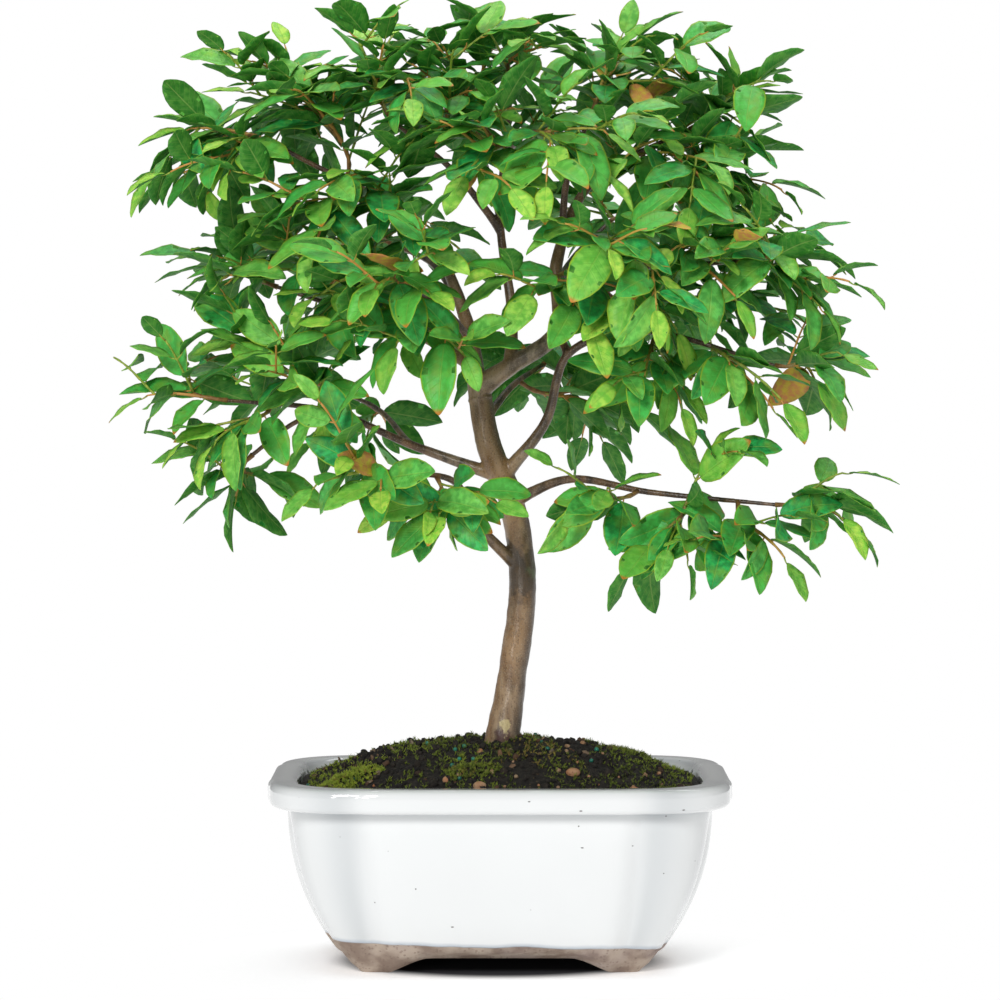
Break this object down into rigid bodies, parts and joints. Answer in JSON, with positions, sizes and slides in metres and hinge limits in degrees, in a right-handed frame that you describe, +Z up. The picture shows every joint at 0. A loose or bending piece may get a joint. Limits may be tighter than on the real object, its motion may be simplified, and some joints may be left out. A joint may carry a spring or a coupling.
{
  "type": "bonsai tree in a pot",
  "caption": "Broad-leaved bonsai with a slender curved trunk and a rounded open crown, in a white glazed lobed pot on low feet.",
  "frame": {"origin": "centre of the pot's footprint, on the surface that its feet stand on", "axes": "+Z up along the trunk, -Y towards the front, +X to the right as seen from the front"},
  "size_m": [0.3431, 0.2355, 0.4248],
  "materials": {
    "glaze": "glossy white glaze over brown clay",
    "soil": "loose, dark and gritty",
    "bark": "smooth mottled bark",
    "leaf": "soft sheen, young green",
    "moss": "short soft tufts",
    "pebble": "rough tan stone",
    "screen_plastic": "matt black",
    "clip_wire": "drawn wire"
  },
  "bodies": {
    "root": {"pot": "glaze", "soil": "soil", "trunk_and_limbs": "bark", "drain_screen_left": "screen_plastic", "drain_screen_right": "screen_plastic", "screen_clip_left": "clip_wire", "screen_clip_right": "clip_wire", "moss_patch_front_left": "moss", "moss_patch_front": "moss", "moss_patch_right": "moss", "moss_patch_back": "moss", "pebble_left": "pebble", "pebble_middle": "pebble", "pebble_right": "pebble", "leafy_shoot_01": "leaf", "leafy_shoot_02": "leaf", "leafy_shoot_03": "leaf", "leafy_shoot_04": "leaf", "leafy_shoot_05": "leaf", "leafy_shoot_06": "leaf", "leafy_shoot_07": "leaf", "leafy_shoot_08": "leaf", "leafy_shoot_09": "leaf", "leafy_shoot_10": "leaf", "leafy_shoot_11": "leaf", "leafy_shoot_12": "leaf", "leafy_shoot_13": "leaf", "leafy_shoot_14": "leaf", "leafy_shoot_15": "leaf", "leafy_shoot_16": "leaf", "leafy_shoot_17": "leaf", "leafy_shoot_18": "leaf", "leafy_shoot_19": "leaf", "leafy_shoot_20": "leaf", "leafy_shoot_21": "leaf", "leafy_shoot_22": "leaf", "leafy_shoot_23": "leaf", "leafy_shoot_24": "leaf", "leafy_shoot_25": "leaf", "leafy_shoot_26": "leaf", "leafy_shoot_27": "leaf", "leafy_shoot_28": "leaf", "leafy_shoot_29": "leaf", "leafy_shoot_30": "leaf", "leafy_shoot_31": "leaf", "leafy_shoot_32": "leaf", "leafy_shoot_33": "leaf", "leafy_shoot_34": "leaf", "leafy_shoot_35": "leaf", "leafy_shoot_36": "leaf", "leafy_shoot_37": "leaf", "leafy_shoot_38": "leaf", "leafy_shoot_39": "leaf", "leafy_shoot_40": "leaf", "leafy_shoot_41": "leaf", "leafy_shoot_42": "leaf", "leafy_shoot_43": "leaf", "leafy_shoot_44": "leaf", "leafy_shoot_45": "leaf", "leafy_shoot_46": "leaf"}
  },
  "joints": []
}
